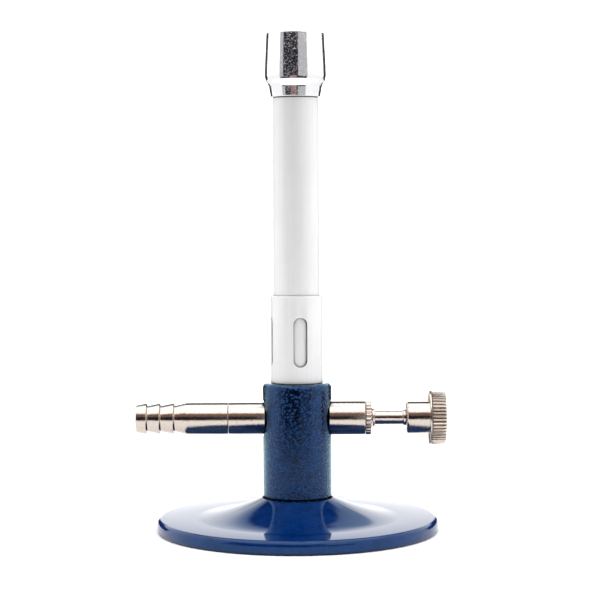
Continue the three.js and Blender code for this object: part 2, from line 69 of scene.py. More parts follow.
base_low, base_high = span("base_plate")
pillar_low, pillar_high = span("pillar_body")
tube_low, tube_high = span("burner_tube")
collar_low, collar_high = span("air_collar")
crown_low, crown_high = span("flame_stabiliser")
adapter_low, adapter_high = span("inlet_adapter")
nozzle_low, nozzle_high = span("hose_nozzle")
valve_low, valve_high = span("valve_body")
gland_low, gland_high = span("gland_nut")
spindle_low, spindle_high = span("needle_spindle")
knob_low, knob_high = span("control_knob")
screw_low, screw_high = span("base_screw")
washer_low, washer_high = span("base_washer")
spring_low, spring_high = span("base_spring_washer")
knob_screw_low, knob_screw_high = span("knob_screw")

AXIS_X = (tube_low.x + tube_high.x) / 2  # the upright axis of the burner
LINE_Z = (nozzle_low.z + nozzle_high.z) / 2  # the height of the gas line

# A turned piece stands upright, or lies along the gas line to one side of the axis.
UPRIGHT = Matrix.Translation((AXIS_X, 0, 0))
LINE_MIDDLE = Matrix.Translation((AXIS_X, 0, LINE_Z))
HOSE_SIDE = LINE_MIDDLE @ Matrix.Rotation(-math.pi / 2, 4, "Y")
VALVE_SIDE = LINE_MIDDLE @ Matrix.Rotation(math.pi / 2, 4, "Y")


# ------------------------------------------------------------------ camera

CAMERA_DISTANCE = 543.0
CAMERA_HEIGHT = 96.7
CAMERA_SIDE = 1.05  # the picture's centre line passes this far to the right of the axis
CAMERA_ROLL_DEG = 0.3
AIM_HEIGHT = 69.75
LENS = 108.06
SENSOR_WIDTH = 36.0
CLIP_NEAR = 0.01  # in metres, as is the next one
CLIP_FAR = 50.0


def make_camera():
    data = bpy.data.cameras.new("camera")
    data.lens = LENS
    data.sensor_width = SENSOR_WIDTH
    data.clip_start = CLIP_NEAR
    data.clip_end = CLIP_FAR
    camera = bpy.data.objects.new("camera", data)
    bpy.context.scene.collection.objects.link(camera)
    place = Vector((AXIS_X + CAMERA_SIDE, -CAMERA_DISTANCE, CAMERA_HEIGHT))
    target = Vector((AXIS_X + CAMERA_SIDE, 0, AIM_HEIGHT))
    camera.location = place * MM
    camera.rotation_mode = "QUATERNION"
    roll = Matrix.Rotation(math.radians(-CAMERA_ROLL_DEG), 3, "Z").to_quaternion()
    camera.rotation_quaternion = (target - place).to_track_quat("-Z", "Y") @ roll
    bpy.context.scene.camera = camera


make_camera()


# ------------------------------------------------------------------ mesh helpers

ON_AXIS = 1e-6  # a radius below this is a point on the axis
EDGE_SHARE = 0.49  # how much of an edge the rounding of one corner may take
COLUMNS_PER_TOOTH = 12
GROOVE_WIDTH = 0.7  # more makes the knurl's grooves wider and its teeth narrower
GROOVE_POWER = 1.1
WELD = 0.002  # vertices closer than this become one


def arc_corner(before, corner, after, radius, steps):
    """The points that round one corner of a profile with an arc."""
    to_before = (before - corner).normalized()
    to_after = (after - corner).normalized()
    half = to_before.angle(to_after) / 2
    reach = radius / math.tan(half)
    limit = EDGE_SHARE * min((before - corner).length, (after - corner).length)
    if reach > limit:
        reach = limit
        radius = reach * math.tan(half)
    centre = corner + (to_before + to_after).normalized() * (radius / math.sin(half))
    start = corner + to_before * reach - centre
    end = corner + to_after * reach - centre
    turn = start.angle_signed(end)
    points = []
    for i in range(steps + 1):
        points.append(centre + Matrix.Rotation(-turn * i / steps, 2) @ start)
    return points


def rounded(profile, closed, steps):
    """A profile of (radius, height[, rounding[, knurl]]) as fine (radius, height, knurl) points."""
    count = len(profile)
    fine = []
    for i, item in enumerate(profile):
        corner = Vector(item[:2])
        rounding = item[2] if len(item) > 2 else 0.0
        knurl = item[3] if len(item) > 3 else 0.0
        at_end = not closed and i in (0, count - 1)
        if rounding <= 0 or at_end:
            fine.append((corner.x, corner.y, knurl))
            continue
        before = Vector(profile[i - 1][:2])
        after = Vector(profile[(i + 1) % count][:2])
        for point in arc_corner(before, corner, after, rounding, steps):
            fine.append((point.x, point.y, knurl))
    return fine


def to_object(name, bm):
    bmesh.ops.recalc_face_normals(bm, faces=bm.faces)
    mesh = bpy.data.meshes.new(name)
    bm.to_mesh(mesh)
    bm.free()
    obj = bpy.data.objects.new(name, mesh)
    bpy.context.scene.collection.objects.link(obj)
    return obj


def groove(angle, teeth):
    """How deep the knurl's groove is at an angle, from 0 on a tooth to 1 in the groove."""
    wave = (math.cos(angle * teeth) + GROOVE_WIDTH) / (1 + GROOVE_WIDTH)
    return max(0.0, wave) ** GROOVE_POWER


def turned(name, profile, columns=160, closed=False, steps=4, teeth=0, depth=0.0, place=UPRIGHT):
    """A piece turned round its own Z axis, moved into place by a matrix in millimetres.

    A profile point is (radius, height), and may go on with the rounding of its corner and
    its share of the knurl. The radius drops by that share of the depth in each groove.
    A closed profile joins its last point to its first; any other starts and ends on the
    axis.
    """
    if teeth:
        columns = teeth * COLUMNS_PER_TOOTH
    bm = bmesh.new()
    rings = []
    for radius, height, knurl in rounded(profile, closed, steps):
        if radius < ON_AXIS:
            rings.append([bm.verts.new((0, 0, height))])
            continue
        ring = []
        for i in range(columns):
            angle = 2 * math.pi * i / columns
            r = radius
            if knurl:
                r -= knurl * depth * groove(angle, teeth)
            ring.append(bm.verts.new((r * math.cos(angle), r * math.sin(angle), height)))
        rings.append(ring)
    if closed:
        rings.append(rings[0])
    for low, high in zip(rings, rings[1:]):
        for i in range(columns):
            j = (i + 1) % columns
            if len(low) == 1 and len(high) > 1:
                bm.faces.new((low[0], high[j], high[i]))
            elif len(high) == 1 and len(low) > 1:
                bm.faces.new((low[i], low[j], high[0]))
            elif len(low) > 1:
                bm.faces.new((low[i], low[j], high[j], high[i]))
    bm.transform(Matrix.Scale(MM, 4) @ place)
    return to_object(name, bm)


def bar(radius, low, high, place=UPRIGHT, columns=48):
    """A plain round cutter along the placed Z axis."""
    profile = [(0, low), (radius, low), (radius, high), (0, high)]
    return turned("cutter", profile, columns, place=place)


def slot_cutter(width, low, high, reach, angle_deg):
    """A radial cutter with round ends, from the axis out to reach at an angle."""
    half = width / 2
    steps = 16
    outline = []
    for centre, start in ((high - half, 0.0), (low + half, math.pi)):
        for i in range(steps + 1):
            angle = start + math.pi * i / steps
            outline.append((half * math.cos(angle), centre + half * math.sin(angle)))
    bm = bmesh.new()
    near = [bm.verts.new((0, across, up)) for across, up in outline]
    far = [bm.verts.new((reach, across, up)) for across, up in outline]
    bm.faces.new(near)
    bm.faces.new(far)
    for i in range(len(outline)):
        j = (i + 1) % len(outline)
        bm.faces.new((near[i], near[j], far[j], far[i]))
    bm.transform(Matrix.Scale(MM, 4) @ UPRIGHT @ Matrix.Rotation(math.radians(angle_deg), 4, "Z"))
    return to_object("cutter", bm)


def block_cutter(size, centre, place):
    bm = bmesh.new()
    bmesh.ops.create_cube(bm, size=1.0)
    bm.transform(Matrix.Diagonal((*size, 1)))
    bm.transform(Matrix.Scale(MM, 4) @ place @ Matrix.Translation(centre))
    return to_object("cutter", bm)


def apply_modifiers(obj):
    depsgraph = bpy.context.evaluated_depsgraph_get()
    mesh = bpy.data.meshes.new_from_object(obj.evaluated_get(depsgraph))
    obj.modifiers.clear()
    old = obj.data
    obj.data = mesh
    bpy.data.meshes.remove(old)
    obj.data.name = obj.name


def weld(obj):
    """Joins vertices that lie very close together, so that a cut leaves no slivers."""
    bm = bmesh.new()
    bm.from_mesh(obj.data)
    bmesh.ops.remove_doubles(bm, verts=bm.verts, dist=WELD * MM)
    bmesh.ops.dissolve_degenerate(bm, edges=bm.edges, dist=WELD * MM / 4)
    bm.to_mesh(obj.data)
    bm.free()


def cut(obj, cutters):
    for cutter in cutters:
        modifier = obj.modifiers.new("cut", "BOOLEAN")
        modifier.operation = "DIFFERENCE"
        modifier.solver = "EXACT"
        modifier.object = cutter
    apply_modifiers(obj)
    weld(obj)
    for cutter in cutters:
        bpy.data.objects.remove(cutter)


def soften(obj, width, angle_deg=40.0):
    """Small rounded edges, so that cut edges catch the light."""
    modifier = obj.modifiers.new("soften", "BEVEL")
    modifier.limit_method = "ANGLE"
    modifier.angle_limit = math.radians(angle_deg)
    modifier.width = width * MM
    modifier.segments = 2
    modifier.use_clamp_overlap = True
    apply_modifiers(obj)
    weld(obj)


# ------------------------------------------------------------------ node helpers

COLOR_A = 6  # the numbers of a Mix node's colour sockets
COLOR_B = 7
COLOR_RESULT = 2
CLOSED_IN = 0.2  # with this share of its surroundings clear, a spot counts as deep in a joint and gets the full painted shade
OPEN = 0.75  # and with this share as lying open, with no painted shade


class NodeTree:
    """The nodes of a material or a world, with the steps that both use."""

    def __init__(self, owner):
        owner.use_nodes = True
        self.nodes = owner.node_tree.nodes
        self.links = owner.node_tree.links

    def computed(self, operation, *values):
        """A math node's result from values that are numbers or other nodes' outputs."""
        node = self.nodes.new("ShaderNodeMath")
        node.operation = operation
        for socket, value in zip(node.inputs, values):
            if isinstance(value, float):
                socket.default_value = value
            else:
                self.links.new(value, socket)
        return node.outputs["Value"]

    def mapped(self, value, from_low, from_high, to_low=0.0, to_high=1.0):
        """A value taken smoothly from one range to another, and held at its ends."""
        node = self.nodes.new("ShaderNodeMapRange")
        node.interpolation_type = "SMOOTHSTEP"
        for name, number in (
            ("From Min", from_low),
            ("From Max", from_high),
            ("To Min", to_low),
            ("To Max", to_high),
        ):
            node.inputs[name].default_value = number
        self.links.new(value, node.inputs["Value"])
        return node.outputs["Result"]

    def mixed(self, share, first, second):
        """A colour between two, by a value from 0 to 1."""
        node = self.nodes.new("ShaderNodeMix")
        node.data_type = "RGBA"
        self.links.new(share, node.inputs["Factor"])
        for socket, color in ((node.inputs[COLOR_A], first), (node.inputs[COLOR_B], second)):
            if isinstance(color, tuple):
                socket.default_value = (*color, 1)
            else:
                self.links.new(color, socket)
        return node.outputs[COLOR_RESULT]


class Look(NodeTree):
    """A node material: texture coordinates in metres on the object, and one shader."""

    def __init__(self, name, color, metallic, roughness):
        self.material = bpy.data.materials.new(name)
        super().__init__(self.material)
        self.shader = self.nodes["Principled BSDF"]
        self.fix("Base Color", (*color, 1))
        self.fix("Metallic", metallic)
        self.fix("Roughness", roughness)
        self.coordinates = self.nodes.new("ShaderNodeTexCoord").outputs["Object"]

    def fix(self, socket, value):
        """Gives the shader one value over the whole surface."""
        self.shader.inputs[socket].default_value = value

    def set(self, socket, value):
        """Gives the shader a value that varies over the surface."""
        self.links.new(value, self.shader.inputs[socket])

    def stretched(self, scale):
        """The coordinates with each axis scaled, for grain that runs one way."""
        mapping = self.nodes.new("ShaderNodeMapping")
        mapping.inputs["Scale"].default_value = scale
        self.links.new(self.coordinates, mapping.inputs["Vector"])
        return mapping.outputs["Vector"]

    def noise(self, scale, detail=3.0, roughness=0.55, vector=None):
        texture = self.nodes.new("ShaderNodeTexNoise")
        texture.inputs["Scale"].default_value = scale
        texture.inputs["Detail"].default_value = detail
        texture.inputs["Roughness"].default_value = roughness
        self.links.new(vector or self.coordinates, texture.inputs["Vector"])
        return texture.outputs["Fac"]

    def weighted(self, *terms):
        """The sum of values, each times its own weight."""
        total = None
        for value, weight in terms:
            part = self.computed("MULTIPLY", value, weight)
            total = part if total is None else self.computed("ADD", total, part)
        return total

    def openness(self, reach):
        """A value from 0 deep in a joint or a corner to 1 where the surface lies open, from ambient
        occlusion; it sets how much painted shade a spot gets.
        """
        # Ambient occlusion drives the painted shade in joints and corners.
        node = self.nodes.new("ShaderNodeAmbientOcclusion")
        node.samples = 8
        node.inputs["Distance"].default_value = reach
        return self.mapped(node.outputs["AO"], CLOSED_IN, OPEN)

    def paint(self, open_color, painted_shade_color, reach):
        """The surface's colour where it lies open, and painted shade: a darker colour in joints and
        corners, where ambient occlusion finds them.
        """
        self.set("Base Color", self.mixed(self.openness(reach), painted_shade_color, open_color))

    def bump(self, height, strength, depth):
        node = self.nodes.new("ShaderNodeBump")
        node.inputs["Strength"].default_value = strength
        node.inputs["Distance"].default_value = depth
        self.links.new(height, node.inputs["Height"])
        self.set("Normal", node.outputs["Normal"])
        self.set("Coat Normal", node.outputs["Normal"])


# ------------------------------------------------------------------ materials

def blue_enamel():
    """Deep blue gloss enamel with a faint orange peel and small cloudy patches."""
    look = Look("blue_enamel", (0.0008, 0.018, 0.115), 0.0, 0.07)
    cloud = look.noise(260, 4.0)
    speck = look.noise(1700, 3.0, 0.65)
    mottle = look.weighted((cloud, 0.4), (speck, 0.6))
    blue = look.mixed(look.mapped(mottle, 0.38, 0.62), (0.0001, 0.0115, 0.076), (0.0006, 0.022, 0.118))
    # Painted shade: the enamel turns near black in joints and corners, by ambient occlusion.
    look.paint(blue, painted_shade_color=(0.0002, 0.001, 0.004), reach=0.0012)
    look.set("Roughness", look.mapped(cloud, 0.35, 0.7, 0.05, 0.1))
    look.fix("IOR", 1.42)
    look.fix("Specular Tint", (0.55, 0.85, 1.0, 1))
    look.bump(mottle, 0.25, 0.00004)
    return look.material


def blue_hammer():
    """Hammer-finish paint: metal flake in dark blue, dimpled, under a clear gloss."""
    look = Look("blue_hammer", (0.003, 0.019, 0.08), 0.8, 0.24)
    dimple = look.noise(1400, 2.0, 0.5)
    flake = look.noise(2600, 2.0, 0.6)
    patch = look.noise(420, 3.0)
    mottle = look.weighted((dimple, 0.6), (flake, 0.4))
    uneven = look.weighted((mottle, 1.0), (patch, 0.2))
    blue = look.mixed(look.mapped(uneven, 0.47, 0.7), (0.0001, 0.003, 0.02), (0.0006, 0.031, 0.122))
    # Painted shade: the hammer paint turns near black in joints and corners, by ambient occlusion.
    look.paint(blue, painted_shade_color=(0.0003, 0.001, 0.004), reach=0.0012)
    look.set("Roughness", look.mapped(flake, 0.35, 0.65, 0.22, 0.1))
    look.fix("Coat Weight", 0.6)
    look.fix("Coat Roughness", 0.06)
    look.fix("Coat IOR", 1.32)
    look.fix("Specular Tint", (0.6, 0.92, 1.0, 1))
    crater = look.mapped(dimple, 0.54, 0.68)
    look.bump(look.computed("ADD", crater, mottle), 0.8, 0.00011)
    return look.material


def nickel_plate():
    """Warm bright nickel over turned brass, with faint turning lines and small dull flecks."""
    look = Look("nickel_plate", (0.48, 0.43, 0.385), 1.0, 0.13)
    turning = look.noise(40, 3.0, 0.6, look.stretched((60, 1, 1)))
    fleck = look.noise(2200, 4.0, 0.75)
    plate = look.mixed(look.mapped(fleck, 0.45, 0.72), (0.52, 0.46, 0.415), (0.42, 0.34, 0.28))
    # Painted shade: the nickel turns dark brown-grey in narrow joints and corners, by ambient
    # occlusion.
    look.paint(plate, painted_shade_color=(0.04, 0.032, 0.028), reach=0.0006)
    look.set("Roughness", look.mapped(fleck, 0.35, 0.7, 0.06, 0.16))
    look.bump(look.weighted((turning, 0.4), (fleck, 1.0)), 0.5, 0.00006)
    return look.material


def bright_chrome():
    """Mirror-bright plate with a slight ripple and fine raised specks."""
    look = Look("bright_chrome", (0.78, 0.78, 0.79), 1.0, 0.04)
    ripple = look.noise(130, 2.0)
    grit = look.noise(5200, 1.0, 0.5)
    speck = look.mapped(grit, 0.64, 0.73)
    look.set("Roughness", look.mapped(grit, 0.5, 0.75, 0.02, 0.08))
    look.bump(look.weighted((ripple, 0.3), (speck, 1.0)), 0.7, 0.00004)
    return look.material


def satin_aluminium():
    """Fine satin aluminium: even, light, with very faint drawn lines along the tube."""
    look = Look("satin_aluminium", (0.72, 0.72, 0.72), 0.08, 0.45)
    drawn = look.noise(900, 3.0, 0.6, look.stretched((1, 1, 0.02)))
    cloud = look.noise(90, 3.0)
    share = look.mapped(look.computed("ADD", drawn, cloud), 0.7, 1.3)
    metal = look.mixed(share, (0.705, 0.71, 0.715), (0.745, 0.75, 0.75))
    # Painted shade: the tube and collar turn dark grey in joints and corners, such as round the air
    # windows and under the crown, by ambient occlusion.
    look.paint(metal, painted_shade_color=(0.03, 0.03, 0.032), reach=0.003)
    look.set("Roughness", look.mapped(drawn, 0.3, 0.7, 0.4, 0.5))
    look.bump(drawn, 0.06, 0.00003)
    return look.material


def turned_brass():
    """Plain brass with turning lines."""
    look = Look("turned_brass", (0.7, 0.5, 0.2), 1.0, 0.28)
    turning = look.noise(60, 3.0, 0.6, look.stretched((1, 1, 40)))
    share = look.mapped(turning, 0.35, 0.7)
    look.set("Base Color", look.mixed(share, (0.58, 0.39, 0.14), (0.76, 0.56, 0.25)))
    look.set("Roughness", look.mapped(turning, 0.3, 0.7, 0.22, 0.36))
    look.bump(turning, 0.2, 0.00005)
    return look.material


def zinc_steel():
    """Zinc-plated steel in slightly uneven greys."""
    look = Look("zinc_steel", (0.58, 0.6, 0.63), 1.0, 0.3)
    patch = look.noise(450, 4.0, 0.65)
    share = look.mapped(patch, 0.35, 0.7)
    look.set("Base Color", look.mixed(share, (0.5, 0.53, 0.57), (0.68, 0.69, 0.68)))
    look.set("Roughness", look.mapped(patch, 0.3, 0.7, 0.22, 0.42))
    look.bump(patch, 0.15, 0.00005)
    return look.material


def gasket_fibre():
    """Red-brown pressed fibre."""
    look = Look("gasket_fibre", (0.35, 0.09, 0.05), 0.0, 0.85)
    fibre = look.noise(1400, 5.0, 0.75)
    share = look.mapped(fibre, 0.3, 0.7)
    look.set("Base Color", look.mixed(share, (0.26, 0.06, 0.035), (0.45, 0.13, 0.07)))
    look.bump(fibre, 0.4, 0.0001)
    return look.material


def graphite_packing():
    """Dark grey packing cord with a dull shine."""
    look = Look("graphite_packing", (0.05, 0.05, 0.05), 0.2, 0.6)
    flake = look.noise(1700, 4.0, 0.7)
    share = look.mapped(flake, 0.3, 0.7)
    look.set("Base Color", look.mixed(share, (0.03, 0.03, 0.032), (0.1, 0.1, 0.105)))
    look.bump(flake, 0.3, 0.00008)
    return look.material


def black_rubber():
    """Matt black rubber."""
    look = Look("black_rubber", (0.02, 0.02, 0.02), 0.0, 0.6)
    skin = look.noise(900, 3.0)
    look.set("Roughness", look.mapped(skin, 0.3, 0.7, 0.5, 0.7))
    look.bump(skin, 0.2, 0.00005)
    return look.material


LOOKS = {
    "blue_enamel": blue_enamel(),
    "blue_hammer": blue_hammer(),
    "nickel_plate": nickel_plate(),
    "bright_chrome": bright_chrome(),
    "satin_aluminium": satin_aluminium(),
    "brass_turned": turned_brass(),
    "zinc_steel": zinc_steel(),
    "gasket_fibre": gasket_fibre(),
    "graphite_packing": graphite_packing(),
    "black_rubber": black_rubber(),
}
SHARP_DEG = 32.0


def piece(obj, slot, body, node):
    """Smooth shading, the material that the slot names, the body it hangs from, and hides the CAD node
    that the piece stands for.
    """
    obj.data.shade_smooth()
    obj.data.set_sharp_from_angle(angle=math.radians(SHARP_DEG))
    obj.data.materials.clear()
    obj.data.materials.append(LOOKS[slot])
    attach(obj, body)
    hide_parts(node)


# Every CAD node gets its material; those that stay on view are the ones inside the burner.
for entry in frame["record"]["subparts"]:
    node = frame["nodes"][entry["node"]]
    node.data.materials.clear()
    node.data.materials.append(LOOKS[entry["material_slot"]])


# ------------------------------------------------------------------ base

PILLAR_R = (pillar_high.x - pillar_low.x) / 2
BASE_R = (base_high.x - base_low.x) / 2
RIM_TOP = 4.05
RING_INNER_R = 31.0  # where the flat ring ends and the cone starts
CONE_TOP = base_high.z
CONE_POWER = 1.5  # 1 is a straight cone, more is a deeper sweep
CONE_STEPS = 26
SOCKET_R = PILLAR_R + CLEARANCE
SOCKET_DEPTH = 1.0  # recess that locates the pillar
BASE_WALL = 2.8
FOOT_INNER_R = 37.5  # inside of the ring that stands on the bench
FOOT_SLOPE = 0.6  # how far that inside wall leans in at its top
HUB_R = 9.5
HUB_Z = washer_high.z + CLEARANCE
SCREW_HOLE_R = 2.75
SCREW_R = 2.45
SCREW_SLOT_W = 1.1
SCREW_SLOT_DEPTH = 1.2
SPRING_SLIT_W = 0.9
SPRING_SLIT_TILT_DEG = 20


def cone_height(r):
    """The height of the base's concave cone at a radius."""
    run = (RING_INNER_R - r) / (RING_INNER_R - SOCKET_R)
    return RIM_TOP + (CONE_TOP - RIM_TOP) * max(run, 0.0) ** CONE_POWER


def make_base():
    run = SOCKET_R - RING_INNER_R
    radii = [RING_INNER_R + run * i / CONE_STEPS for i in range(CONE_STEPS + 1)]
    sweep = [(r, cone_height(r)) for r in radii]
    ceiling = [(r, cone_height(r) - BASE_WALL) for r in reversed(radii[:-1])]
    profile = [
        (SCREW_HOLE_R, HUB_Z, 0.2),
        (HUB_R, HUB_Z, 0.5),
        *ceiling,
        (FOOT_INNER_R - FOOT_SLOPE, RIM_TOP - BASE_WALL, 0.8),
        (FOOT_INNER_R, 0, 0.3),
        (BASE_R, 0, 0.7),
        (BASE_R, RIM_TOP, 1.5),
        *sweep,
        (SOCKET_R, CONE_TOP - SOCKET_DEPTH),
        (SCREW_HOLE_R, CONE_TOP - SOCKET_DEPTH),
    ]
    base = turned("base_disc", profile, columns=256, closed=True)
    piece(base, "blue_enamel", "burner_stand", "base_plate")


def make_base_screw():
    head_r = (screw_high.x - screw_low.x) / 2
    head_top = spring_low.z - HAIR
    bottom = screw_low.z
    profile = [
        (0, bottom),
        (head_r, bottom, 0.5),
        (head_r, head_top, 0.1),
        (SCREW_R, head_top),
        (SCREW_R, screw_high.z, 0.6),
        (0, screw_high.z),
    ]
    screw = turned("fixing_screw", profile, columns=96)
    slot_size = (3 * head_r, SCREW_SLOT_W, 2 * SCREW_SLOT_DEPTH)
    cut(screw, [block_cutter(slot_size, (0, 0, bottom), UPRIGHT)])
    soften(screw, 0.08)
    piece(screw, "zinc_steel", "burner_stand", "base_screw")


def washer(name, outer, low, high, edges):
    """A flat ring round the base screw, with the rounding of each of its four edges."""
    corners = ((SCREW_HOLE_R, low), (outer, low), (outer, high), (SCREW_HOLE_R, high))
    profile = [(*corner, edge) for corner, edge in zip(corners, edges)]
    return turned(name, profile, columns=96, closed=True)


def make_base_washers():
    outer = (washer_high.x - washer_low.x) / 2
    plain = washer("fixing_washer", outer, washer_low.z, HUB_Z - HAIR, (0.1, 0.25, 0.1, 0.0))
    piece(plain, "zinc_steel", "burner_stand", "base_washer")

    outer = (spring_high.x - spring_low.x) / 2
    low = spring_low.z
    high = washer_low.z - HAIR
    spring = washer("fixing_spring_washer", outer, low, high, [0.15] * 4)
    tilt = Matrix.Rotation(math.radians(SPRING_SLIT_TILT_DEG), 4, "X")
    slit_size = (2 * PAST, SPRING_SLIT_W, 2 * PAST)
    cut(spring, [block_cutter(slit_size, (outer, 0, (low + high) / 2), UPRIGHT @ tilt)])
    piece(spring, "zinc_steel", "burner_stand", "base_spring_washer")


make_base()
make_base_screw()
make_base_washers()


# ------------------------------------------------------------------ pillar

PILLAR_TOP = pillar_high.z
PILLAR_FOOT = pillar_low.z - CLEARANCE + HAIR
NECK_DEPTH = 0.5  # a low neck just above the base leaves a dark joint line
NECK_TOP = CONE_TOP + 0.2
SPOT_R = 5.95  # flats where the gas line enters
SPOT_X = 9.7
SPIGOT_R = 3.6  # every threaded spigot that enters the pillar
SPIGOT_BORE_R = SPIGOT_R + CLEARANCE
SPIGOT_FLOOR = 5.2  # from the burner's axis to the bottom of the two side bores
JET_BORE_FLOOR = 38.5
GAS_UP_R = 1.5  # passage up to the jet
SCREW_BORE_SPARE = 1.5  # room above the base screw's tip


def make_pillar():
    neck_r = PILLAR_R - NECK_DEPTH
    profile = [
        (0, PILLAR_FOOT),
        (neck_r, PILLAR_FOOT),
        (neck_r, NECK_TOP, 0.1),
        (PILLAR_R, NECK_TOP + NECK_DEPTH, 0.3),
        (PILLAR_R, PILLAR_TOP, 1.5),
        (SPIGOT_BORE_R, PILLAR_TOP, 0.2),
        (SPIGOT_BORE_R, JET_BORE_FLOOR),
        (0, JET_BORE_FLOOR),
    ]
    side_bore = [
        (0, SPIGOT_FLOOR),
        (SPIGOT_BORE_R, SPIGOT_FLOOR),
        (SPIGOT_BORE_R, SPOT_X),
        (SPOT_R, SPOT_X),
        (SPOT_R, PILLAR_R + PAST),
        (0, PILLAR_R + PAST),
    ]
    screw_bore_top = screw_high.z + SCREW_BORE_SPARE
    body = turned("pillar_casting", profile, columns=192, steps=8)
    cutters = [turned("cutter", side_bore, columns=96, place=side) for side in (HOSE_SIDE, VALVE_SIDE)]
    cutters.append(bar(GAS_UP_R, LINE_Z, JET_BORE_FLOOR + PAST, columns=32))
    cutters.append(bar(SCREW_HOLE_R, pillar_low.z - PAST, screw_bore_top, columns=32))
    cut(body, cutters)
    piece(body, "blue_hammer", "burner_stand", "pillar_body")


make_pillar()


# ------------------------------------------------------------------ hose side

# Distances along the gas line are from the burner's axis.
SHOULDER = SPOT_X + HAIR  # where each side's piece meets its flat on the pillar
ADAPTER_R = (adapter_high.z - adapter_low.z) / 2
ADAPTER_START = AXIS_X - adapter_high.x
ADAPTER_BORE_R = 2.2
JOINT_LINE = 20.8  # between the adapter and the nozzle
JOINT_HALF_GAP = 0.06
JOINT_EDGE = 0.16
NOZZLE_SOCKET_R = 3.3
NOZZLE_SOCKET_FLOOR = 14.0
NOZZLE_SPIGOT_R = 3.0
NOZZLE_START = AXIS_X - nozzle_high.x
NOZZLE_BODY_END = 33.5
NOZZLE_BORE_R = 2.5
NOZZLE_TIP = AXIS_X - nozzle_low.x
NOZZLE_TIP_R = 4.15
BARB_VALLEYS = (37.0, 41.2, 45.2)
BARB_VALLEY_R = 3.925
BARB_CREST_R = 4.75
BARB_STEP = 0.35  # length of the steep side of a barb
BARB_EDGE = 0.12


def make_adapter():
    end = JOINT_LINE - JOINT_HALF_GAP
    profile = [
        (ADAPTER_BORE_R, ADAPTER_START),
        (SPIGOT_R, ADAPTER_START, 0.2),
        (SPIGOT_R, SHOULDER),
        (ADAPTER_R, SHOULDER, 0.15),
        (ADAPTER_R, end, JOINT_EDGE),
        (NOZZLE_SOCKET_R, end),
        (NOZZLE_SOCKET_R, NOZZLE_SOCKET_FLOOR),
        (ADAPTER_BORE_R, NOZZLE_SOCKET_FLOOR),
    ]
    adapter = turned("inlet_sleeve", profile, closed=True, place=HOSE_SIDE)
    piece(adapter, "nickel_plate", "burner_stand", "inlet_adapter")


def make_nozzle():
    start = JOINT_LINE + JOINT_HALF_GAP
    barbs = []
    for valley in BARB_VALLEYS:
        barbs.append((BARB_VALLEY_R, valley, BARB_EDGE))
        barbs.append((BARB_CREST_R, valley + BARB_STEP, BARB_EDGE))
    profile = [
        (NOZZLE_BORE_R, NOZZLE_START),
        (NOZZLE_SPIGOT_R, NOZZLE_START),
        (NOZZLE_SPIGOT_R, start),
        (ADAPTER_R, start, JOINT_EDGE),
        (ADAPTER_R, NOZZLE_BODY_END, 3.0),
        *barbs,
        (NOZZLE_TIP_R, NOZZLE_TIP, 0.35),
        (NOZZLE_BORE_R, NOZZLE_TIP, 0.25),
    ]
    nozzle = turned("hose_barb", profile, closed=True, steps=6, place=HOSE_SIDE)
    piece(nozzle, "nickel_plate", "burner_stand", "hose_nozzle")


make_adapter()
make_nozzle()


# ------------------------------------------------------------------ valve side

VALVE_R = (valve_high.z - valve_low.z) / 2
VALVE_START = valve_low.x - AXIS_X
THREAD_BORE_R = 2.8
PACKING_ROOM_R = 3.8
PACKING_ROOM_FLOOR = 13.2

GLAND_SLEEVE_START = gland_low.x - AXIS_X
GLAND_SLEEVE_R = 3.5
GLAND_START = valve_high.x - AXIS_X + CLEARANCE
GLAND_JOINT = 0.1  # gap between the valve body and the nut, seen as a dark line
GLAND_CHAMFER = 0.3
GLAND_CHAMFER_LENGTH = 0.22
GLAND_KNURL_END = 22.4
GLAND_TEETH = 26
GLAND_GROOVE = 0.28
GLAND_SHOULDER_R = 3.3
GLAND_NECK_START = 22.9
GLAND_NECK_END = gland_high.x - AXIS_X
GLAND_NECK_R = 2.65
GLAND_BORE_R = 2.25

SPINDLE_START = spindle_low.x - AXIS_X
SPINDLE_END = spindle_high.x - AXIS_X
SPINDLE_R = 2.05
NEEDLE_TIP_R = 0.25
NEEDLE_CONE_END = 1.2
NEEDLE_R = 1.7
THREAD_START = 7.6
THREAD_END = 10.2
THREAD_R = 2.5
THREAD_LEAD_IN = 0.3  # length of the cone at each end of the thread
O_RING_GROOVE = (10.53, 11.67)
O_RING_GROOVE_R = 1.4
FLANGE_START = 31.9  # a small shoulder beside the knob
FLANGE_CONE = 0.25
FLANGE_R = 2.4

KNOB_START = knob_low.x - AXIS_X
KNOB_END = knob_high.x - AXIS_X
KNOB_R = (knob_high.z - knob_low.z) / 2
KNOB_BOSS_R = 4.9
KNOB_LIP_START = 39.9  # plain lip beside the knurl
KNOB_LIP_END = 40.5
KNOB_TEETH = 46
KNOB_GROOVE = 0.62
KNOB_BAND_R = KNOB_R - 0.2
KNOB_DIMPLE_R = 1.6
KNOB_DIMPLE_SLOPE = 0.4
KNOB_DIMPLE_DEPTH = 0.35
KNOB_BORE_R = 2.3
KNOB_SCREW_HOLE_R = 1.5
KNOB_SCREW_R = 1.45
KNOB_SCREW_KEY_R = 0.75
KNOB_SCREW_KEY_DEPTH = 1.0
KNOB_SCREW_X = (knob_screw_low.x + knob_screw_high.x) / 2
KNOB_SCREW_SIDE = Matrix.Translation((KNOB_SCREW_X, 0, LINE_Z)) @ Matrix.Rotation(-math.pi / 2, 4, "X")


def make_valve_body():
    end = GLAND_START - GLAND_JOINT
    profile = [
        (THREAD_BORE_R, VALVE_START),
        (SPIGOT_R, VALVE_START),
        (SPIGOT_R, SHOULDER),
        (VALVE_R, SHOULDER, 0.15),
        (VALVE_R, end, 0.12),
        (PACKING_ROOM_R, end),
        (PACKING_ROOM_R, PACKING_ROOM_FLOOR),
        (THREAD_BORE_R, PACKING_ROOM_FLOOR),
    ]
    body = turned("valve_barrel", profile, closed=True, place=VALVE_SIDE)
    piece(body, "nickel_plate", "burner_stand", "valve_body")


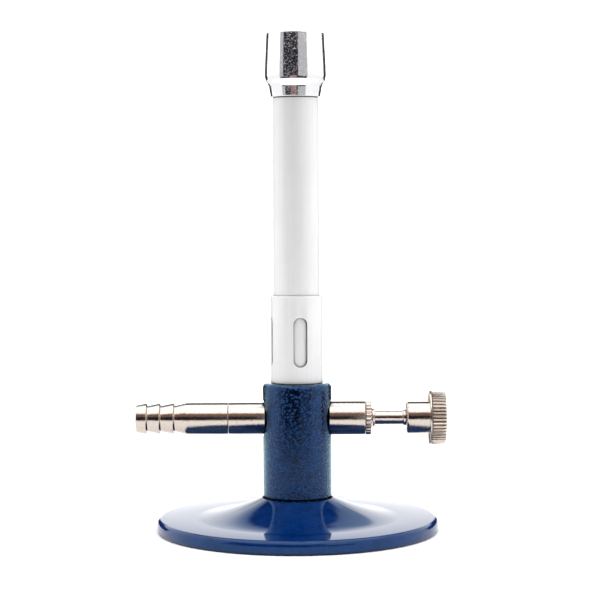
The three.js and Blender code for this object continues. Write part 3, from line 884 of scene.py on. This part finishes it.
def make_gland_nut():
    chamfer_r = VALVE_R - GLAND_CHAMFER
    profile = [
        (GLAND_BORE_R, GLAND_SLEEVE_START),
        (GLAND_SLEEVE_R, GLAND_SLEEVE_START),
        (GLAND_SLEEVE_R, GLAND_START, 0.05),
        (chamfer_r, GLAND_START, 0.0, 0.3),
        (VALVE_R, GLAND_START + GLAND_CHAMFER_LENGTH, 0.0, 1.0),
        (VALVE_R, GLAND_KNURL_END - GLAND_CHAMFER_LENGTH, 0.0, 1.0),
        (chamfer_r, GLAND_KNURL_END, 0.0, 0.3),
        (GLAND_SHOULDER_R, GLAND_KNURL_END, 0.1),
        (GLAND_NECK_R, GLAND_NECK_START, 0.2),
        (GLAND_NECK_R, GLAND_NECK_END, 0.3),
        (GLAND_BORE_R, GLAND_NECK_END, 0.05),
    ]
    nut = turned(
        "gland_cap",
        profile,
        closed=True,
        teeth=GLAND_TEETH,
        depth=GLAND_GROOVE,
        place=VALVE_SIDE,
    )
    piece(nut, "nickel_plate", "burner_stand", "gland_nut")


def make_spindle():
    groove_start, groove_end = O_RING_GROOVE
    flange_end = KNOB_START - HAIR
    profile = [
        (0, SPINDLE_START),
        (NEEDLE_TIP_R, SPINDLE_START),
        (NEEDLE_R, NEEDLE_CONE_END),
        (NEEDLE_R, THREAD_START),
        (THREAD_R, THREAD_START + THREAD_LEAD_IN),
        (THREAD_R, THREAD_END - THREAD_LEAD_IN),
        (SPINDLE_R, THREAD_END),
        (SPINDLE_R, groove_start),
        (O_RING_GROOVE_R, groove_start),
        (O_RING_GROOVE_R, groove_end),
        (SPINDLE_R, groove_end),
        (SPINDLE_R, FLANGE_START, 0.4),
        (FLANGE_R, FLANGE_START + FLANGE_CONE, 0.12),
        (FLANGE_R, flange_end, 0.12),
        (SPINDLE_R, flange_end),
        (SPINDLE_R, SPINDLE_END),
        (0, SPINDLE_END),
    ]
    spindle = turned("valve_stem", profile, columns=96, place=VALVE_SIDE)
    piece(spindle, "nickel_plate", "valve_control", "needle_spindle")


def make_knob():
    bore_floor = SPINDLE_END + CLEARANCE
    dimple_floor = KNOB_END - KNOB_DIMPLE_DEPTH
    profile = [
        (0, bore_floor),
        (KNOB_BORE_R, bore_floor),
        (KNOB_BORE_R, KNOB_START, 0.05),
        (KNOB_BOSS_R, KNOB_START, 0.95),
        (KNOB_BOSS_R, KNOB_LIP_START + 0.75, 0.3),
        (KNOB_R - 0.35, KNOB_LIP_START + 0.3, 0.2),
        (KNOB_R - 0.05, KNOB_LIP_START, 0.05),
        (KNOB_R, KNOB_LIP_START + 0.45, 0.1),
        (KNOB_BAND_R - 0.25, KNOB_LIP_END, 0.0, 0.4),
        (KNOB_BAND_R, KNOB_LIP_END + 0.25, 0.0, 1.0),
        (KNOB_BAND_R - 0.05, KNOB_END - 0.4, 0.0, 1.0),
        (KNOB_BAND_R - 0.45, KNOB_END, 0.0, 0.2),
        (KNOB_DIMPLE_R, KNOB_END, 0.1),
        (KNOB_DIMPLE_R - KNOB_DIMPLE_SLOPE, dimple_floor, 0.1),
        (0, dimple_floor),
    ]
    knob = turned(
        "knurled_knob",
        profile,
        steps=6,
        teeth=KNOB_TEETH,
        depth=KNOB_GROOVE,
        place=VALVE_SIDE,
    )
    cut(knob, [bar(KNOB_SCREW_HOLE_R, 0, KNOB_BOSS_R + PAST, KNOB_SCREW_SIDE)])
    piece(knob, "nickel_plate", "valve_control", "control_knob")


def make_knob_screw():
    low = knob_screw_low.y
    high = knob_screw_high.y
    profile = [(0, low), (KNOB_SCREW_R, low, 0.1), (KNOB_SCREW_R, high, 0.2), (0, high)]
    screw = turned("knob_grub_screw", profile, columns=48, place=KNOB_SCREW_SIDE)
    key_floor = high - KNOB_SCREW_KEY_DEPTH
    cut(screw, [bar(KNOB_SCREW_KEY_R, key_floor, high + PAST, KNOB_SCREW_SIDE, columns=6)])
    piece(screw, "zinc_steel", "valve_control", "knob_screw")


make_valve_body()
make_gland_nut()
make_spindle()
make_knob()
make_knob_screw()


# ------------------------------------------------------------------ tube, collar, crown

FRONT_DEG = -90.0  # the direction of -Y, as an angle round the burner's axis
SLEEVE_BOTTOM = PILLAR_TOP + HAIR  # where the tube and the collar stand on the pillar

TUBE_R = (tube_high.x - tube_low.x) / 2
TUBE_BORE_R = 6.0
TUBE_TOP_R = 6.6  # above the shoulder it is turned down for the crown
TUBE_TOP = tube_high.z
CROWN_GAP = 0.3  # gap between the tube's shoulder and the crown, seen as a dark line
TUBE_SHOULDER = crown_low.z - CROWN_GAP
PILOT_HOLES = 8
PILOT_HOLE_R = 0.8
PILOT_HOLE_Z = 138.0

COLLAR_R = (collar_high.x - collar_low.x) / 2
COLLAR_TOP = collar_high.z
COLLAR_BORE_R = 7.15
COLLAR_LIP = 0.12  # how far the collar's top closes in on the tube
WINDOWS = 4
WINDOW_W = 4.2
WINDOW_LOW = 49.9
WINDOW_HIGH = 64.8
WINDOW_TURN = 8.5  # degrees from the front to the nearest window, towards +X
TUBE_HOLE_TURN = WINDOW_TURN + 45  # the collar is shown with the air shut off


def window_cutters(turn_deg):
    cutters = []
    for i in range(WINDOWS):
        angle = FRONT_DEG + turn_deg + 360 / WINDOWS * i
        cutters.append(slot_cutter(WINDOW_W, WINDOW_LOW, WINDOW_HIGH, COLLAR_R + PAST, angle))
    return cutters


def make_tube():
    profile = [
        (TUBE_BORE_R, SLEEVE_BOTTOM, 0.1),
        (TUBE_R, SLEEVE_BOTTOM, 0.1),
        (TUBE_R, TUBE_SHOULDER, 0.05),
        (TUBE_TOP_R, TUBE_SHOULDER),
        (TUBE_TOP_R, TUBE_TOP, 0.15),
        (TUBE_BORE_R, TUBE_TOP, 0.15),
    ]
    tube = turned("mixing_tube", profile, columns=192, closed=True)
    cutters = window_cutters(TUBE_HOLE_TURN)
    pilot_middle = UPRIGHT @ Matrix.Translation((0, 0, PILOT_HOLE_Z))
    level = Matrix.Rotation(math.pi / 2, 4, "Y")
    for i in range(PILOT_HOLES):
        turn = Matrix.Rotation(2 * math.pi * i / PILOT_HOLES, 4, "Z")
        aim = pilot_middle @ turn @ level
        cutters.append(bar(PILOT_HOLE_R, 0, TUBE_R + PAST, aim, columns=24))
    cut(tube, cutters)
    piece(tube, "satin_aluminium", "burner_stand", "burner_tube")


def make_collar():
    profile = [
        (COLLAR_BORE_R, SLEEVE_BOTTOM, 0.1),
        (COLLAR_R, SLEEVE_BOTTOM, 0.25),
        (COLLAR_R, COLLAR_TOP, 0.3),
        (COLLAR_BORE_R - COLLAR_LIP, COLLAR_TOP, 0.1),
    ]
    collar = turned("air_sleeve", profile, columns=192, closed=True)
    cut(collar, window_cutters(WINDOW_TURN))
    soften(collar, 0.07, angle_deg=50)
    piece(collar, "satin_aluminium", "air_regulator", "air_collar")


def make_crown():
    bottom = crown_low.z
    top = crown_high.z
    belly_r = (crown_high.x - crown_low.x) / 2 + 0.13
    rim_r = belly_r - 0.52
    wall = 0.9
    mouth_r = 6.98  # just over the tube, at the crown's lower end
    bore_r = 6.9
    floor = bottom + 2.9
    profile = [
        (mouth_r, bottom, 0.08),
        (7.45, bottom, 0.3),
        (7.6, bottom + 1.1, 1.0),
        (7.93, bottom + 3.0, 3.0),
        (8.3, bottom + 4.0, 0.8),
        (8.95, bottom + 5.0, 1.2),
        (belly_r + 0.05, bottom + 6.3, 5.0),
        (belly_r - 0.05, bottom + 9.6, 8.0),
        (rim_r, top, 0.3),
        (rim_r - wall, top, 0.3),
        (8.15, bottom + 6.0, 0.8),
        (7.6, floor, 0.3),
        (bore_r, floor),
        (bore_r, bottom + 0.7),
        (mouth_r, bottom + 0.6),
    ]
    crown = turned("flame_crown", profile, columns=192, closed=True, steps=8)
    piece(crown, "bright_chrome", "burner_stand", "flame_stabiliser")


make_tube()
make_collar()
make_crown()


# ------------------------------------------------------------------ floor and studio

FLOOR_R = 0.24  # in metres; past its edge the room shows in reflections
FLOOR_DROP = 0.0001  # in metres, so that the base's foot doesn't lie in the floor


def make_floor():
    bm = bmesh.new()
    bmesh.ops.create_circle(bm, cap_ends=True, segments=96, radius=FLOOR_R)
    floor = to_object("floor", bm)
    floor.location.z = -FLOOR_DROP
    floor.data.materials.append(Look("floor_white", (0.95, 0.95, 0.95), 0.0, 0.7).material)


class Studio(NodeTree):
    """The light round the object, as a map of direction: a light room with lit and dark cards.

    Turn is the angle round the object from the front, positive to the right, and height is
    the angle above the horizon, both in degrees.
    """

    def __init__(self, room):
        world = bpy.data.worlds.new("studio")
        super().__init__(world)
        bpy.context.scene.world = world
        coordinates = self.nodes.new("ShaderNodeTexCoord")
        split = self.nodes.new("ShaderNodeSeparateXYZ")
        self.links.new(coordinates.outputs["Generated"], split.inputs["Vector"])
        backward = self.computed("MULTIPLY", split.outputs["Y"], -1.0)
        self.turn = self.computed("DEGREES", self.computed("ARCTAN2", split.outputs["X"], backward))
        self.away = self.computed("ABSOLUTE", self.turn)
        self.height = self.computed("DEGREES", self.computed("ARCSINE", split.outputs["Z"]))
        self.color = room

    def card(self, color, turn, height, soft, away=False):
        """A lit or dark card over a range of turn and of height, with soft edges.

        With away, the turn is counted the same to the left and to the right. A range that
        goes all the way round or up to the top has no edge there.
        """
        around = self.away if away else self.turn
        share = None
        for value, limit, (low, high) in ((around, 180, turn), (self.height, 90, height)):
            for edge, outside, inside in ((low, 0.0, 1.0), (high, 1.0, 0.0)):
                if abs(edge) >= limit:
                    continue
                step = self.mapped(value, edge - soft, edge + soft, outside, inside)
                share = step if share is None else self.computed("MULTIPLY", share, step)
        self.color = self.mixed(share, self.color, color)

    def close(self, backdrop):
        """The camera itself sees an even white backdrop."""
        seen = self.nodes.new("ShaderNodeLightPath").outputs["Is Camera Ray"]
        color = self.mixed(seen, self.color, backdrop)
        self.links.new(color, self.nodes["Background"].inputs["Color"])


def make_studio():
    studio = Studio(room=(1.2, 1.2, 1.2))
    top = (2.6, 2.6, 2.6)
    front = (2.2, 2.2, 2.2)
    left = (1.75, 1.75, 1.75)
    right = (1.58, 1.58, 1.58)
    back = (1.85, 1.85, 1.85)
    grey = (0.55, 0.55, 0.57)
    half = (0.6, 0.76, 0.9)
    dark = (0.028, 0.026, 0.036)
    brown = (0.3, 0.2, 0.165)
    skin = (0.42, 0.24, 0.21)
    studio.card(top, (-180, 180), (51, 90), 2.5)
    studio.card(right, (47, 145), (-5, 51), 2.5)
    studio.card(left, (-145, -62), (-5, 51), 2.5)
    studio.card(front, (-62, 47), (20, 51), 2.5)
    studio.card(grey, (-62, 47), (-28, 22), 2.5)
    studio.card(dark, (-47, 11), (-28, 23), 2.0)
    studio.card(dark, (-62, 47), (-34, -17), 2.0)
    studio.card(brown, (-60, 24), (18, 42), 3.0)
    studio.card(skin, (-20, 5), (-30, -14), 4.0)
    studio.card(back, (138, 180), (-5, 51), 2.0, away=True)
    studio.card(half, (150, 180), (26, 58), 6.0, away=True)
    studio.card(dark, (132, 168), (-10, 18), 2.0, away=True)
    studio.card(dark, (160, 180), (32, 56), 2.0, away=True)
    studio.card(half, (165, 174), (21, 36), 1.5)
    studio.close(backdrop=(1.7, 1.7, 1.7))


make_floor()
make_studio()
bpy.context.scene.view_settings.view_transform = "Standard"
